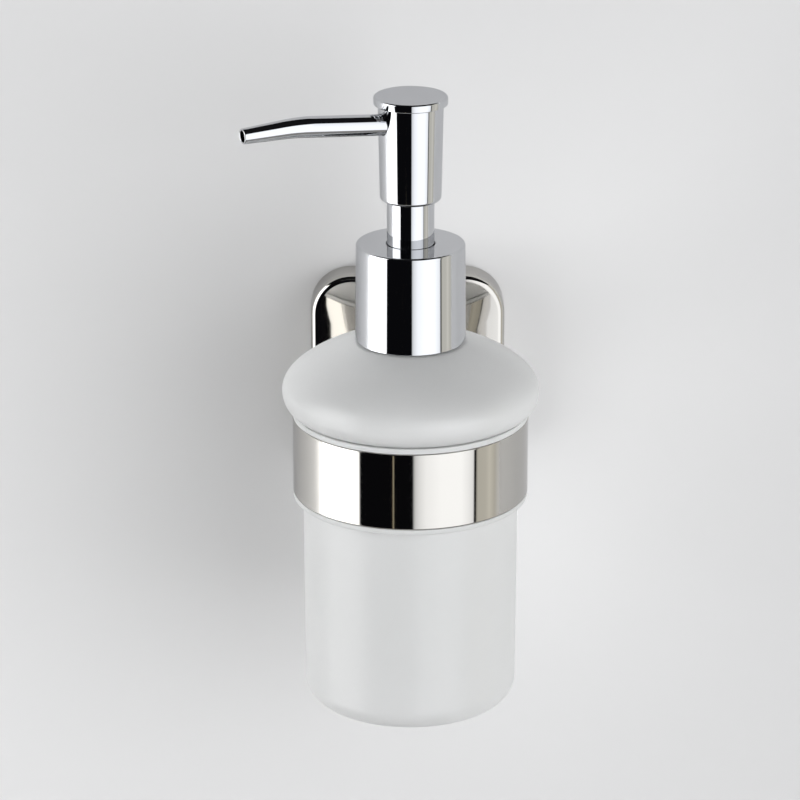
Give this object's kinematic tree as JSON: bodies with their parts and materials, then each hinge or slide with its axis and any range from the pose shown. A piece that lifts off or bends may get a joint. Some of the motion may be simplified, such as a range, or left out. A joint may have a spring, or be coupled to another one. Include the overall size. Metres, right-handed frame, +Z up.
{
  "type": "wall mounted soap dispenser",
  "caption": "Frosted glass soap bottle with a bright metal press pump and swivelling spout, held in a metal ring on a rounded wall plate.",
  "frame": {"origin": "centre of the wall bracket's back face, on the wall plane, level with the middle of the holder ring", "axes": "+Y into the wall, +Z up along the bottle, +X to the right seen from the room; the bottle stands at -Y"},
  "size_m": [0.0895, 0.1513, 0.1928],
  "materials": {
    "chrome": "mirror polished chrome plate, slightly cool",
    "nickel": "mirror polished plate, slightly warm",
    "steel": "zinc plated and stainless fasteners, ball and spring",
    "zinc_casting": "bare zinc die casting",
    "frosted_glass": "satin etched pale green-grey glass",
    "clear_plastic": "translucent, slightly milky",
    "white_plastic": "moulded polypropylene",
    "grey_plastic": "moulded nylon",
    "seal": "soft polyethylene foam and seal material"
  },
  "bodies": {
    "holder": {"plate_cover": "nickel", "wall_bracket": "zinc_casting", "set_screw": "steel", "holder_arm": "nickel", "arm_screw": "steel", "wall_screw_upper": "steel", "wall_plug_upper": "grey_plastic", "ring_screw_upper": "steel", "wall_screw_lower": "steel", "wall_plug_lower": "grey_plastic", "ring_screw_lower": "steel", "holder_ring": "nickel"},
    "liner": {"ring_liner": "clear_plastic"},
    "bottle": {"bottle": "frosted_glass"},
    "pump": {"pump_housing": "white_plastic", "guide_nut": "white_plastic", "guide_sleeve": "chrome", "neck_gasket": "seal", "dip_tube": "clear_plastic", "return_spring": "steel"},
    "closure": {"collar": "chrome", "closure_insert": "white_plastic"},
    "ball": {"inlet_ball": "steel"},
    "plunger": {"pump_stem": "white_plastic", "piston_seal": "seal"},
    "head": {"pump_head": "chrome", "head_core": "white_plastic", "spout": "chrome"}
  },
  "joints": [
    {"name": "liner_turn", "type": "hinge", "parent": "holder", "child": "liner", "pos_m": [0, -0.082, 0], "axis": [0, 0, 1], "continuous": true},
    {"name": "bottle_lift", "type": "slide", "parent": "liner", "child": "bottle", "axis": [0, 0, 1], "range_m": [0, 0.11]},
    {"name": "pump_lift", "type": "slide", "parent": "bottle", "child": "pump", "axis": [0, 0, 1], "range_m": [0, 0.14]},
    {"name": "closure_turn", "type": "hinge", "parent": "pump", "child": "closure", "pos_m": [0, -0.082, 0.05], "axis": [0, 0, 1], "range_deg": [0, 540]},
    {"name": "ball_lift", "type": "slide", "parent": "pump", "child": "ball", "axis": [0, 0, 1], "range_m": [0, 0.0015]},
    {"name": "head_press", "type": "slide", "parent": "pump", "child": "plunger", "axis": [0, 0, -1], "range_m": [0, 0.012], "stiffness_N_per_m": 700, "springref_m": -0.01, "deforming": ["return_spring"]},
    {"name": "spout_swivel", "type": "hinge", "parent": "plunger", "child": "head", "pos_m": [0, -0.082, 0.1], "axis": [0, 0, 1], "continuous": true}
  ]
}
